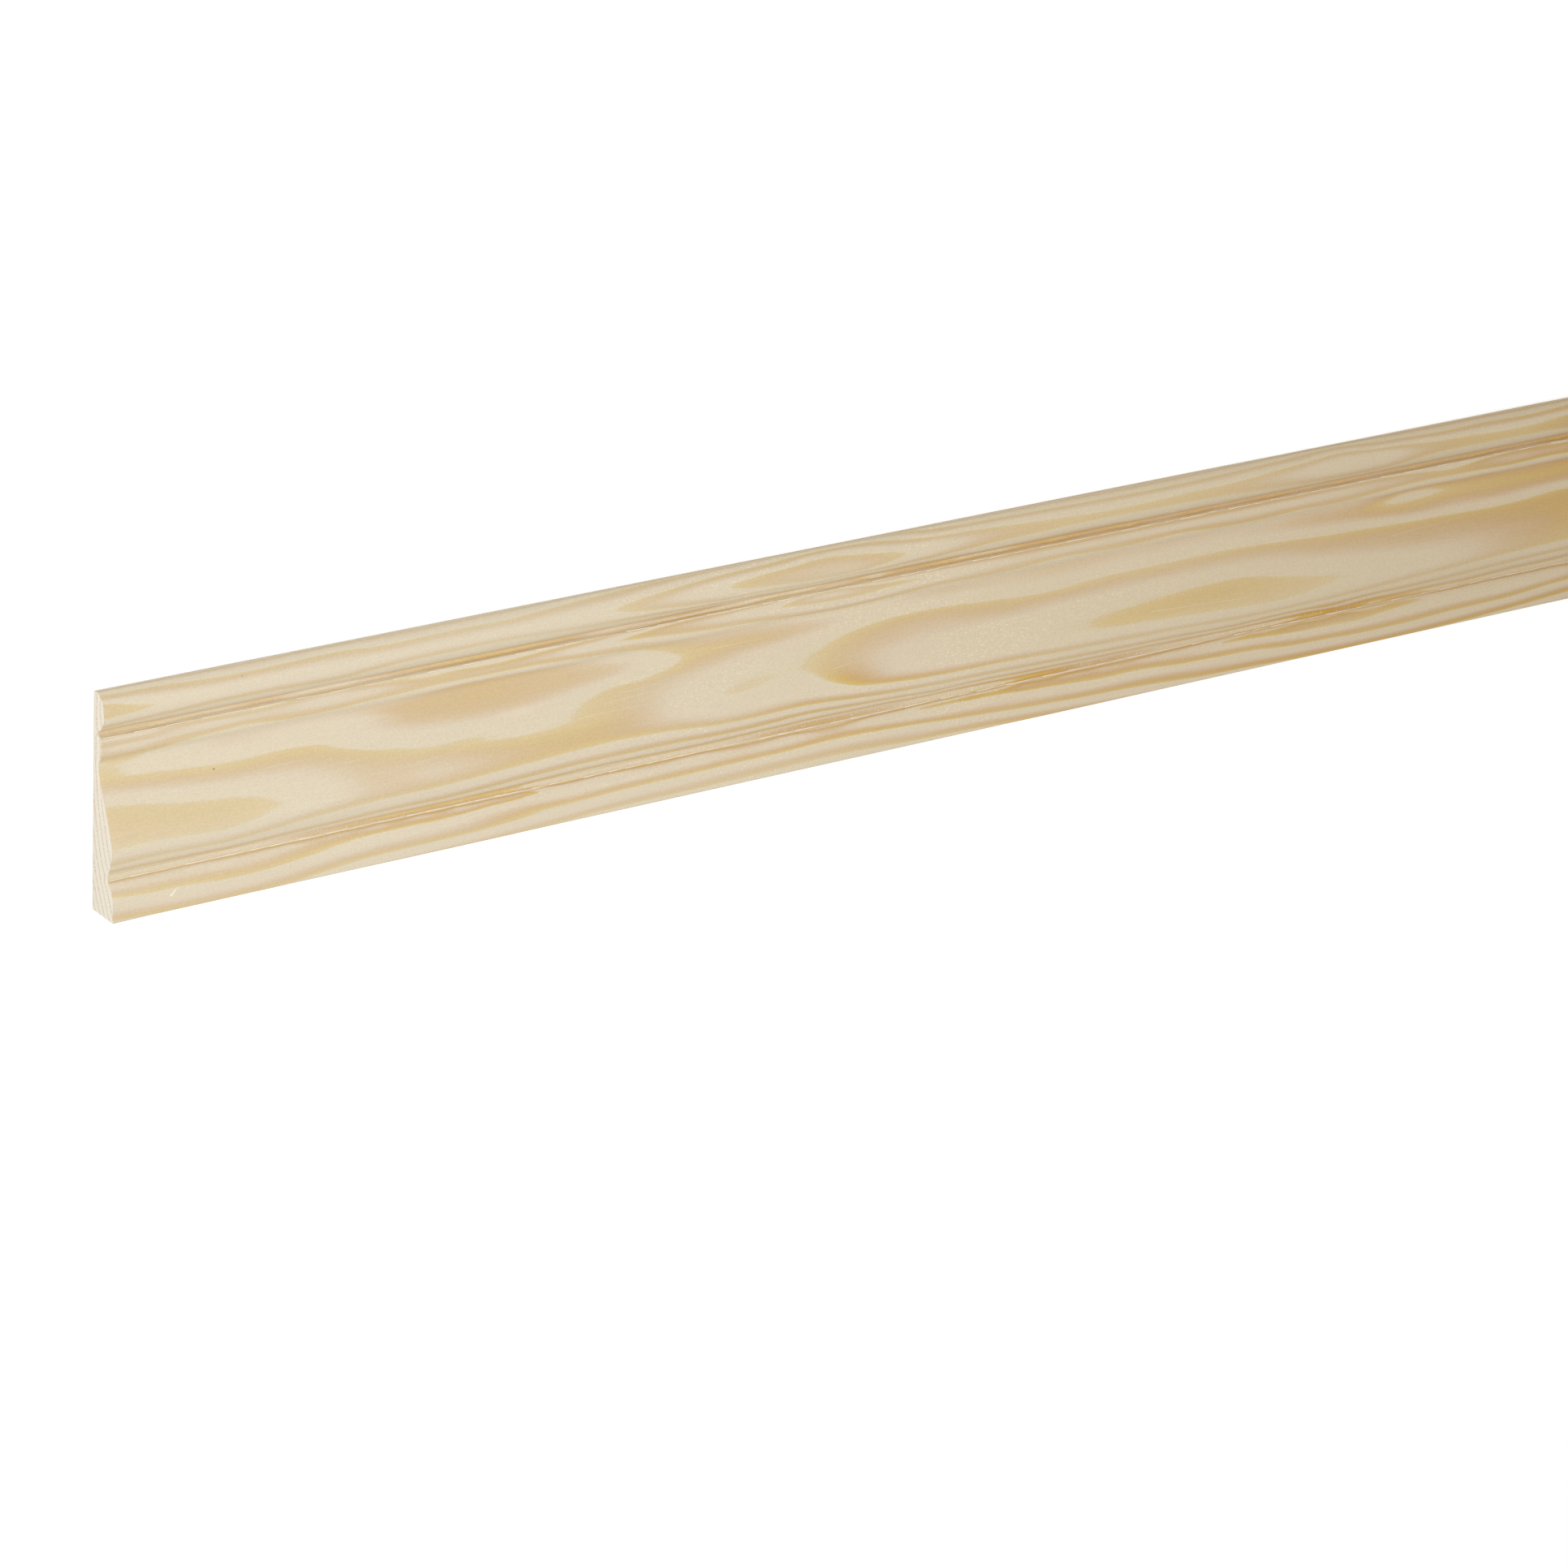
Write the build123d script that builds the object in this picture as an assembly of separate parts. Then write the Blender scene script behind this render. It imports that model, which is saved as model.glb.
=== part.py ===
from build123d import *
import os

# Ogee moulding: one length of planed pine, run through a moulder and sawn square at both ends.
# It lies on its flat back. +X runs along the grain, +Y across the width from the thick edge to
# the thin edge, and +Z up through the thickness. The origin is the middle of the back face.
# All sizes are in millimetres.

# Stock
length = 2100.0
thickness = 12.0
arris_radius = 0.4

# Band along the thick edge: a flat land that rounds over into a shoulder
band_land = 6.0
shoulder_run = 6.0
shoulder_drop = 2.3

# Lower quirk, the stepped groove between the band and the nose
lower_quirk_depth = 3.25
lower_quirk_wall_run = 0.5
lower_quirk_floor = 1.5

# Nose: the round that rises out of the lower quirk to the crest of the ogee
nose_run = 8.6
crest_setback = 0.75

# Ogee: the long S curve from the crest down to the hollow
ogee_run = 24.0
ogee_crest_handle = 6.0
ogee_hollow_handle = 6.0
hollow_thickness = 3.0

# Listel: the low raised strip between the hollow and the upper quirk
cove_run = 4.0
listel_rise = 1.5
listel_land = 4.7
listel_arris_radius = 0.25

# Upper quirk, the narrow groove under the bead
upper_quirk_thickness = 2.7
upper_quirk_wall_run = 0.5
upper_quirk_floor = 1.2

# Bead along the thin edge
bead_width = 12.0
bead_projection = 3.4
thin_edge_thickness = 2.35


def station_list(start, runs):
    """Adds up the runs and gives the place across the width where each one ends."""
    stations = [start]
    for run in runs:
        stations.append(stations[-1] + run)
    return stations


def section_face():
    """The moulder's section, drawn in Y (across the width) and Z (up from the back)."""
    runs = (
        band_land,
        shoulder_run,
        lower_quirk_wall_run,
        lower_quirk_floor,
        nose_run,
        ogee_run,
        cove_run,
        listel_land,
        upper_quirk_wall_run,
        upper_quirk_floor,
        bead_width,
    )
    width = sum(runs)
    (
        thick_edge,
        land_end,
        shoulder_end,
        lower_floor_start,
        lower_floor_end,
        crest,
        hollow,
        listel_start,
        listel_end,
        upper_floor_start,
        bead_start,
        thin_edge,
    ) = station_list(-width / 2, runs)

    lower_floor_height = thickness - lower_quirk_depth
    crest_height = thickness - crest_setback
    listel_height = hollow_thickness + listel_rise

    with BuildSketch(Plane.YZ) as section:
        with BuildLine():
            Line((thick_edge, 0), (thick_edge, thickness))
            Line((thick_edge, thickness), (land_end, thickness))
            shoulder_foot = (shoulder_end, thickness - shoulder_drop)
            TangentArc((land_end, thickness), shoulder_foot, tangent=(1, 0))
            Line(shoulder_foot, (lower_floor_start, lower_floor_height))
            nose_foot = (lower_floor_end, lower_floor_height)
            Line((lower_floor_start, lower_floor_height), nose_foot)
            TangentArc((crest, crest_height), nose_foot, tangent=(-1, 0))
            Bezier(
                (crest, crest_height),
                (crest + ogee_crest_handle, crest_height),
                (hollow - ogee_hollow_handle, hollow_thickness),
                (hollow, hollow_thickness),
            )
            cove_middle = ((hollow + listel_start) / 2, (hollow_thickness + listel_height) / 2)
            TangentArc((hollow, hollow_thickness), cove_middle, tangent=(1, 0))
            TangentArc((listel_start, listel_height), cove_middle, tangent=(-1, 0))
            Line((listel_start, listel_height), (listel_end, listel_height))
            Line((listel_end, listel_height), (upper_floor_start, upper_quirk_thickness))
            bead_foot = (bead_start, upper_quirk_thickness)
            Line((upper_floor_start, upper_quirk_thickness), bead_foot)
            bead_crown = ((bead_start + thin_edge) / 2, upper_quirk_thickness + bead_projection)
            ThreePointArc(bead_foot, bead_crown, (thin_edge, thin_edge_thickness))
            Line((thin_edge, thin_edge_thickness), (thin_edge, 0))
            Line((thin_edge, 0), (thick_edge, 0))
        make_face()
        for corner in ((thick_edge, 0), (thick_edge, thickness), (thin_edge, 0)):
            fillet(section.vertices().sort_by_distance(corner)[0], radius=arris_radius)
        listel_corner = section.vertices().sort_by_distance((listel_end, listel_height))[0]
        fillet(listel_corner, radius=listel_arris_radius)
    return section.sketch.face()


def ogee_moulding():
    """The whole length, extruded both ways from the middle along the grain."""
    return extrude(section_face(), amount=length / 2, both=True)


os.makedirs("parts", exist_ok=True)
export_step(ogee_moulding(), "parts/ogee_moulding.step")
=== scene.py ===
import math
import random

import bmesh
import bpy
import numpy as np
from mathutils import Matrix, Quaternion, Vector


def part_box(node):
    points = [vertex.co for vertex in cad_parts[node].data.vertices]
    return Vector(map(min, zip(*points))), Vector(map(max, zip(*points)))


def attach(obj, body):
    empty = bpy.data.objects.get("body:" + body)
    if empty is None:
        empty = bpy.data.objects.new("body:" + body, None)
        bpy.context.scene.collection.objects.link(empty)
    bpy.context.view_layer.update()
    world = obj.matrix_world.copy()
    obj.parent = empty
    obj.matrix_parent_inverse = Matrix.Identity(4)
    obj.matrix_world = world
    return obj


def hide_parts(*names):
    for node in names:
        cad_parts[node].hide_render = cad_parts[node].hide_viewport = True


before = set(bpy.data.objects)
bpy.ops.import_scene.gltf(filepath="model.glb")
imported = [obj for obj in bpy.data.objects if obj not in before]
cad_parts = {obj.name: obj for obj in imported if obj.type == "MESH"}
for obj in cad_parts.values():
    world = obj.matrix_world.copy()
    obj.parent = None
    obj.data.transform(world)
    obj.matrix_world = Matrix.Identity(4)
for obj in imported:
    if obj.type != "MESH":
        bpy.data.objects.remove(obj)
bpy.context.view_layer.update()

# One length of planed pine moulding, lying on its flat back, seen along its face from the near end.
# Ring and section sizes are in millimetres: along from the near end, across from the thick edge,
# and up from the back. The objects themselves are in metres.
mm = 0.001
node = "ogee_moulding"
low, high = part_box(node)
mouldingLength = (high.x - low.x) / mm
print("frame loaded")


# camera
cameraView = {
    "place": (-1.81892, 0.68502, 1.39205),
    "aim": (-0.80333, -0.04417, 0.0),
    "turn": 3.2071,  # degrees
    "lens": 136.456,
    "sensor": 36.0,
}


def makeCamera(values):
    made = bpy.data.cameras.new("camera")
    made.lens = values["lens"]
    made.sensor_width = values["sensor"]
    made.clip_start = 0.05
    made.clip_end = 100
    camera = bpy.data.objects.new("camera", made)
    bpy.context.scene.collection.objects.link(camera)
    place = Vector(values["place"])
    forward = (Vector(values["aim"]) - place).normalized()
    right = forward.cross(Vector((0, 1, 0))).normalized()  # the width stands upright in the picture
    up = right.cross(forward)
    turned = Matrix((right, up, -forward)).transposed()
    turned = turned @ Matrix.Rotation(math.radians(values["turn"]), 3, "Z")
    camera.matrix_world = Matrix.Translation(place) @ turned.to_4x4()
    bpy.context.scene.camera = camera


makeCamera(cameraView)
print("camera placed")


# The moulder's section, as part.py has it, with the number of columns that each stretch gets.
section = {
    "thickness": 12.0,
    "arrisRadius": 0.4,
    "bandLand": 6.0,
    "shoulderRun": 6.0,
    "shoulderDrop": 2.3,
    "lowerQuirkDepth": 3.25,
    "lowerQuirkWall": 0.5,
    "lowerQuirkFloor": 1.5,
    "noseRun": 8.6,
    "crestSetback": 0.75,
    "ogeeRun": 24.0,
    "ogeeHandle": 6.0,
    "hollowThickness": 3.0,
    "coveRun": 4.0,
    "listelRise": 1.5,
    "listelLand": 4.7,
    "listelArris": 0.25,
    "upperQuirkThickness": 2.7,
    "upperQuirkWall": 0.5,
    "upperQuirkFloor": 1.2,
    "beadWidth": 12.0,
    "beadProjection": 3.4,
    "thinEdge": 2.35,
}
mesh = {
    "rows": 7,
    "rowCrowding": 1.6,  # rows lie closer together under the face
    "cutsFirst": 21,
    "cutsSecond": 21,
    "crowding": 0.42,  # 1 spaces the stations evenly, less crowds them at the near end
    "endArris": 0.15,
    "reliefDepth": 0.035,  # how far the soft early wood sinks below the late wood
    "lateFrom": 0.5,  # shares of a ring: where the late wood starts to rise, over what, and how fast it ends
    "lateRise": 0.2,
    "lateStop": 0.04,
    "smoothAngle": 28,  # degrees
}


def straightTo(points, end, count):
    start = points[-1]
    for step in range(1, count + 1):
        share = step / count
        points.append((start[0] + (end[0] - start[0]) * share, start[1] + (end[1] - start[1]) * share))


def curveTo(points, end, count, level):
    # an arc from the last point to end, level with the back at its "start" or at its "end"
    start = points[-1]
    flat, foot = (start, end) if level == "start" else (end, start)
    run, rise = foot[0] - flat[0], foot[1] - flat[1]
    radius = (run ** 2 + rise ** 2) / (2 * abs(rise))
    whole = math.asin(abs(run) / radius)
    for step in range(1, count + 1):
        share = step / count if level == "start" else 1 - step / count
        angle = whole * share
        points.append((
            flat[0] + math.copysign(radius * math.sin(angle), run),
            flat[1] + math.copysign(radius * (1 - math.cos(angle)), rise),
        ))


def ogeeTo(points, end, handle, count):
    start = points[-1]
    for step in range(1, count + 1):
        t = step / count
        weights = ((1 - t) ** 3, 3 * (1 - t) ** 2 * t, 3 * (1 - t) * t ** 2, t ** 3)
        runs = (start[0], start[0] + handle, end[0] - handle, end[0])
        rises = (start[1], start[1], end[1], end[1])
        points.append((sum(w * r for w, r in zip(weights, runs)), sum(w * r for w, r in zip(weights, rises))))


def beadTo(points, crown, end, count):
    # the circle through the foot, the crown and the thin edge, in steps that are short at the foot
    foot = points[-1]
    rows = np.array([np.subtract(crown, foot), np.subtract(end, foot)])
    sides = np.array([np.dot(crown, crown) - np.dot(foot, foot), np.dot(end, end) - np.dot(foot, foot)]) / 2
    centre = np.linalg.solve(rows, sides)
    radius = math.dist(centre, foot)
    first = math.atan2(foot[1] - centre[1], foot[0] - centre[0])
    last = math.atan2(end[1] - centre[1], end[0] - centre[0])
    for step in range(1, count + 1):
        angle = first + (last - first) * (step / count) ** 1.3
        points.append((centre[0] + radius * math.cos(angle), centre[1] + radius * math.sin(angle)))


def sectionLine(s):
    thick = s["thickness"]
    points = [(0.0, thick)]
    straightTo(points, (s["bandLand"], thick), 6)
    shoulder = s["bandLand"] + s["shoulderRun"]
    curveTo(points, (shoulder, thick - s["shoulderDrop"]), 9, "start")
    floorStart = shoulder + s["lowerQuirkWall"]
    straightTo(points, (floorStart, thick - s["lowerQuirkDepth"]), 1)
    floorEnd = floorStart + s["lowerQuirkFloor"]
    straightTo(points, (floorEnd, thick - s["lowerQuirkDepth"]), 3)
    crest = floorEnd + s["noseRun"]
    curveTo(points, (crest, thick - s["crestSetback"]), 9, "end")
    hollow = crest + s["ogeeRun"]
    ogeeTo(points, (hollow, s["hollowThickness"]), s["ogeeHandle"], 24)
    coveEnd = hollow + s["coveRun"]
    coveMiddle = ((hollow + coveEnd) / 2, s["hollowThickness"] + s["listelRise"] / 2)
    curveTo(points, coveMiddle, 3, "start")
    listelTop = s["hollowThickness"] + s["listelRise"]
    curveTo(points, (coveEnd, listelTop), 3, "end")
    listelEnd = coveEnd + s["listelLand"]
    straightTo(points, (listelEnd, listelTop), 6)
    quirkStart = listelEnd + s["upperQuirkWall"]
    straightTo(points, (quirkStart, s["upperQuirkThickness"]), 1)
    quirkEnd = quirkStart + s["upperQuirkFloor"]
    straightTo(points, (quirkEnd, s["upperQuirkThickness"]), 2)
    crown = (quirkEnd + s["beadWidth"] / 2, s["upperQuirkThickness"] + s["beadProjection"])
    beadTo(points, crown, (quirkEnd + s["beadWidth"], s["thinEdge"]), 16)
    return np.array(points), {"listelEnd": (listelEnd, listelTop)}


faceLine, corners = sectionLine(section)


def faceHeight(across):
    return np.interp(across, faceLine[:, 0], faceLine[:, 1])


# The growth rings. The pith lay in front of the face, and a ring's number falls towards it.
rings = {
    "pithAcross": 54.0,
    "pithUp": 108.0,
    "firstRadius": 104.6,
    "width": 2.5,
    "alongScale": 8.0,  # the figure is this much longer along the grain than across it
    "stiffness": 0.12,
    "lateStiffness": 1.0,
    "depthOfSwell": 2.5,
    "figureEnd": 568.0,
    "figureFade": 130.0,
}
# Places on the face where a ring number was read from the photo, as (along, across).
# The first reading is older than the camera's last fit, and setRight moves its places.
readingShift = {
    "alongScale": 0.992,
    "rise": 0.12,
    "risePerMetre": 1.6,
}
firstLines = {
    3: (
        (170, 0.9), (200, 1.2), (230, 1.5), (260, 2.1), (290, 1), (310, 0.5), (330, -0.4),
    ),
    2.65: (
        (150, 1.3), (200, 2.7), (250, 3.8), (290, 2.6), (330, 1.3),
    ),
    2: (
        (0, 0.6), (20, -0.3), (45, -0.3), (60, 0.3), (80, 2.3), (100, 3), (120, 3.3), (140, 4.2),
        (160, 5), (330, 4), (360, 2.8), (385, 2), (400, 1.2), (430, 0.2),
    ),
    1.65: (
        (0, 2.6), (40, 1.5), (60, 2.3), (80, 4.3), (120, 5.1), (175, 15.4), (190, 15.2), (250, 15.4),
        (280, 15.1), (330, 5.7), (360, 4.4), (385, 4.2), (410, 2.5), (440, 1.3),
    ),
    1: (
        (100, 15.7), (115, 15.4), (140, 16.5), (160, 17.3), (180, 17.4), (200, 17.3), (230, 16.8),
        (250, 17.4), (270, 16.5), (300, 15.1), (440, 5), (460, 4.2), (480, 3.5), (510, 4.1), (540, 4.6),
        (560, 6),
    ),
    0.65: (
        (0, 9.6), (0, 16), (20, 15.9), (60, 15.8), (80, 16.1), (96, 44.5), (103, 41), (105, 47),
        (120, 39.4), (125, 48.9), (145, 39), (150, 48.2), (165, 41), (170, 45.2), (178, 43.5),
        (460, 5.8), (480, 5.5), (520, 6.3),
    ),
    0: (
        (0, 17.3), (0, 68.4), (8, 44), (12, 41.7), (15, 47), (20, 17.6), (20, 55.6), (20, 68), (25, 41),
        (30, 49.7), (40, 17.3), (40, 40), (40, 67.2), (50, 50.4), (60, 18.9), (60, 40.2), (60, 67.3),
        (70, 49.3), (75, 39.4), (80, 20), (80, 67.5), (82, 37), (90, 35.2), (90, 49.9), (95, 66.8),
        (100, 20.4), (100, 34), (108, 32.4), (120, 20.8), (120, 50.5), (120, 67.1), (125, 33),
        (135, 30.6), (140, 21.6), (140, 67), (148, 30.2), (150, 50.3), (160, 22.4), (160, 32.8),
        (160, 67.8), (170, 36.8), (175, 49), (177, 38.1), (180, 22.8), (180, 68.4), (190, 38.7),
        (190, 47), (200, 22), (200, 40.5), (202, 43.5), (220, 20.7), (250, 20.7), (270, 19.2),
        (300, 17.9), (300, 68), (330, 67.5), (340, 17), (360, 67.1), (380, 16), (390, 66.9), (420, 14.9),
        (420, 67.2), (450, 67.8), (460, 14.6), (480, 67.5), (489, 44.7), (495, 43.6), (496, 46.2),
        (500, 15.3), (505, 43.9), (506, 46), (510, 66.8), (512, 45), (530, 66.9), (550, 66.6),
        (560, 16.8), (565, 67),
    ),
    -0.35: (
        (0, 19), (0, 39.5), (0, 50.5), (0, 67.3), (20, 19.2), (20, 37.8), (20, 50.9), (20, 60.1),
        (20, 66.7), (40, 18.6), (40, 36.1), (40, 51.6), (40, 66.1), (60, 20.3), (60, 35.7), (60, 66.2),
        (70, 50.7), (75, 33.8), (80, 21.7), (80, 66.2), (85, 30.3), (90, 51.1), (91, 27), (95, 65.6),
        (97, 24), (98, 28), (108, 22.7), (108, 28.6), (120, 27.6), (120, 65.9), (122, 23.6), (127, 25.3),
        (130, 51.5), (140, 65.8), (160, 51), (160, 66.6), (180, 67.2), (183, 50.4), (187, 28), (189, 25),
        (189, 32), (192, 49.6), (193, 35.5), (200, 23.7), (203, 37.8), (203, 47.9), (215, 22.1),
        (215, 39.3), (215, 46.2), (223, 41), (236, 45), (250, 22.1), (250, 43.3), (270, 20.4),
        (300, 18.9), (300, 67.2), (330, 66.8), (340, 18), (360, 66.3), (390, 66.1), (400, 16.5),
        (420, 66.3), (450, 67), (455, 43.7), (460, 15.9), (468, 42.5), (470, 44.9), (480, 66.7),
        (482, 46), (485, 41), (492, 47.7), (500, 16.6), (505, 39.8), (505, 48.4), (510, 65.9),
        (518, 40.8), (530, 47.8), (530, 65.9), (535, 39.9), (550, 65.6), (560, 18), (565, 40.4),
        (565, 47.2), (565, 66),
    ),
    -1: (
        (0, 22.9), (0, 34.8), (0, 66.5), (8, 65), (12, 34), (18, 63.7), (20, 22.6), (25, 32), (40, 21.9),
        (42, 30.5), (52, 23.8), (52, 28.6), (59, 25.9), (177, 63.2), (178, 52.8), (186, 51.9),
        (188, 65.6), (200, 50.9), (205, 66.8), (230, 49.4), (240, 67.9), (247, 33.2), (249, 30.8),
        (252, 35.5), (254, 28), (260, 38), (262, 25), (265, 47.2), (270, 23.3), (270, 40), (280, 22.4),
        (280, 67.6), (290, 41.4), (300, 21.3), (300, 49), (310, 40.9), (310, 65.9), (330, 20.8),
        (330, 39.6), (340, 64.6), (345, 39), (350, 49.8), (360, 19.8), (365, 39.9), (400, 18.9),
        (400, 40.2), (400, 49.7), (400, 64), (430, 40), (440, 17.7), (440, 65.4), (450, 49), (455, 38.7),
        (465, 17.9), (465, 66.5), (480, 37.9), (480, 49.2), (490, 65.3), (500, 19), (510, 37),
        (515, 50.1), (520, 64), (530, 20.2), (540, 36.3), (560, 50), (565, 20.8), (565, 37.3),
        (565, 64.3),
    ),
    -1.35: (
        (190, 63.3), (190, 63.5), (198, 65), (203, 52.7), (212, 51.6), (215, 66.4), (240, 67), (267, 30),
        (268, 33), (270, 27), (275, 24.6), (280, 35.4), (280, 66.6), (290, 37.6), (300, 22.6),
        (300, 65.4), (310, 37.4), (325, 36.2), (345, 36.6), (350, 21.3), (380, 50.7), (400, 19.8),
        (400, 37.4), (440, 36.9), (440, 50.2), (445, 18.7), (445, 64.3), (460, 34.4), (465, 65.6),
        (480, 19.6), (480, 33.3), (480, 50.8), (485, 64.9), (497, 52.6), (500, 31.5), (515, 20.9),
        (515, 31.5), (531, 22), (533, 29.9), (535, 52.2), (538, 24), (540, 51), (541, 27.5), (560, 52.6),
        (565, 51.2),
    ),
    -2: (
        (219, 63.2), (232, 65.3), (241, 53), (250, 66.3), (255, 51.4), (268, 65.7), (280, 51.7),
        (297, 53), (358, 26.5), (367, 24.9), (370, 29), (385, 30.4), (390, 23.9), (405, 31.2),
        (415, 22.6), (425, 31.2), (440, 21.6), (445, 28.5), (455, 23), (467, 25.1),
    ),
    -2.35: (
        (240, 63.2), (254, 61.8), (254, 64.5), (268, 63.3),
    ),
}
secondLines = {
    2: (
        (140, 12.6), (142, 13.5), (144, 14.2), (150, 6.2), (150, 14.5), (160, 6.6), (160, 14.8),
        (175, 6.8), (175, 15), (190, 7), (190, 14.7), (205, 7.2), (205, 14.5), (220, 7.4), (220, 14.7),
        (240, 7.5), (240, 14.9), (250, 7.9), (255, 15), (258, 8), (270, 7.6), (270, 14.9), (280, 7.3),
        (285, 14.7), (290, 6.9), (300, 14.6), (308, 14.5), (318, 14.2), (325, 13.6), (330, 12.9),
    ),
    1.65: (
        (80, 14.3), (100, 14.4), (120, 14.5), (135, 14.7), (150, 15.3), (160, 7.7), (165, 15.7),
        (175, 8.3), (180, 15.7), (200, 8.6), (200, 15.3), (215, 15.3), (220, 8.8), (235, 15.6),
        (240, 8.9), (255, 9.5), (255, 15.8), (270, 9.2), (280, 15.5), (285, 8.3), (295, 7.7),
        (300, 15.3), (318, 15),
    ),
    1: (
        (0, 8.1), (0, 14.9), (6, 7.5), (12, 7.2), (20, 14.8), (24, 7.2), (32, 6.6), (38, 14.4),
        (42, 6.4), (50, 14.7), (52, 6.6), (60, 7.2), (65, 15.1), (70, 8.2), (80, 9.5), (80, 15.5),
        (90, 10), (100, 10), (108, 9.7), (117, 10), (128, 10.4), (137, 10.6), (143, 11), (148, 11.5),
        (291, 11.6), (297, 11.2), (305, 11), (315, 10.7), (325, 10.3), (330, 15.6), (335, 9.8),
        (345, 9.4), (350, 15.3), (352, 9), (360, 8.6), (365, 15), (372, 8.7), (380, 8.6), (388, 8.1),
        (395, 14.6), (396, 7.5), (405, 7.4), (415, 7.1), (425, 6.9), (425, 14.3), (433, 6.2),
        (437, 14.1), (438, 13.6), (446, 13.2), (453, 12.8), (476, 12.8), (485, 13.1), (495, 13.3),
        (505, 13.7), (530, 14), (560, 14.3),
    ),
    0.65: (
        (0, 15.8), (10, 9.5), (20, 9.6), (20, 15.7), (30, 9.4), (38, 15.3), (40, 9.1), (50, 9.2),
        (52, 15.6), (56, 9.7), (63, 10.4), (65, 16), (71, 11), (80, 11.4), (95, 11.6), (115, 11.7),
        (138, 11.7), (330, 11.3), (345, 11), (360, 10.7), (375, 10.4), (385, 9.9), (395, 9.2),
        (405, 8.8), (420, 8.5), (430, 8.1), (440, 7.3), (452, 15), (475, 15), (500, 15), (530, 15.2),
        (560, 15.5),
    ),
    0: (
        (0, 58.7), (20, 59.4), (30, 55.35), (30, 59.8), (40, 55.15), (45, 60.1), (50, 55.05), (60, 55.2),
        (60, 59.9), (70, 55.6), (72, 59.4), (80, 59.4), (82, 55.6), (90, 55.25), (90, 60.2), (97, 54.9),
        (100, 60.8), (105, 54.4), (115, 54), (115, 61.2), (130, 53.9), (130, 61.3), (140, 54),
        (140, 61.2), (148, 54.5), (150, 60.6), (156, 54.9), (160, 60.1), (165, 55.3), (180, 55.6),
        (180, 59.5), (195, 59), (210, 58.7), (225, 58.3), (235, 57.3), (238, 57.6), (243, 56.5),
        (250, 55.8), (275, 55.75), (300, 55.9), (310, 56.1), (325, 56.1), (345, 55.8), (375, 55.75),
        (405, 55.75), (412, 11.5), (420, 10.8), (430, 10.3), (435, 55.75), (440, 9.8), (450, 9.5),
        (462, 9.3), (465, 55.75), (473, 9.2), (480, 9.7), (488, 10.3), (495, 10.8), (495, 55.75),
        (499, 11.5), (525, 55.75), (560, 55.75),
    ),
    -0.35: (
        (0, 59.7), (20, 54.9), (30, 60.8), (35, 54.4), (45, 61.1), (50, 54.1), (60, 61), (62, 54.4),
        (72, 54.9), (72, 60.6), (80, 60.6), (82, 54.9), (90, 61.4), (92, 54.3), (100, 53.6), (100, 62),
        (115, 62.3), (130, 62.3), (140, 62.2), (150, 53.6), (150, 61.6), (160, 54.2), (160, 61),
        (172, 54.8), (180, 60.4), (185, 55.1), (195, 60), (210, 59.5), (225, 59.2), (350, 58.6),
        (370, 58.4), (385, 57.8), (400, 57.5), (430, 57.3), (480, 57.2), (530, 57.3), (560, 57.6),
    ),
    -1: (
        (179, 53.3), (182, 62.3), (187, 54.3), (190, 61.4), (195, 54.9), (200, 60.6), (208, 55.3),
        (210, 59.9), (222, 59.5), (240, 59.3), (260, 59.2), (280, 59.2), (292, 59.6), (302, 60.2),
        (312, 60.7), (325, 61.2), (340, 61.5), (360, 61.7), (380, 61.6), (400, 61.4), (415, 60.9),
        (430, 60.2), (440, 59.6), (450, 59.1), (462, 58.8), (475, 58.7), (485, 55.3), (485, 59.2),
        (492, 60), (493, 54.9), (500, 60.8), (502, 54.3), (510, 61.2), (512, 53.6), (519, 54.2),
        (525, 54.8), (525, 61.2), (535, 55.3), (545, 61), (555, 55.3), (562, 60.4),
    ),
    -1.35: (
        (188, 63.8), (195, 62.5), (203, 61.7), (212, 60.9), (222, 60.3), (240, 60), (265, 59.9),
        (280, 60.1), (290, 60.6), (300, 55), (300, 61.2), (308, 61.9), (312, 54.8), (315, 63),
        (325, 54.6), (428, 62.8), (436, 61.7), (445, 60.9), (455, 60.2), (465, 59.9), (476, 59.9),
        (484, 60.4), (485, 54.2), (490, 61.3), (495, 53.5), (495, 62.5), (530, 54.3), (545, 54.2),
        (560, 53.9),
    ),
    -2: (
        (216, 63.8), (226, 62.2), (234, 61.6), (238, 53.3), (242, 61), (243, 54.4), (250, 55.1),
        (250, 60.4), (258, 55.2), (260, 60.3), (266, 54.9), (268, 60.6), (276, 54.3), (276, 61.3),
        (285, 63.2),
    ),
}
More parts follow.
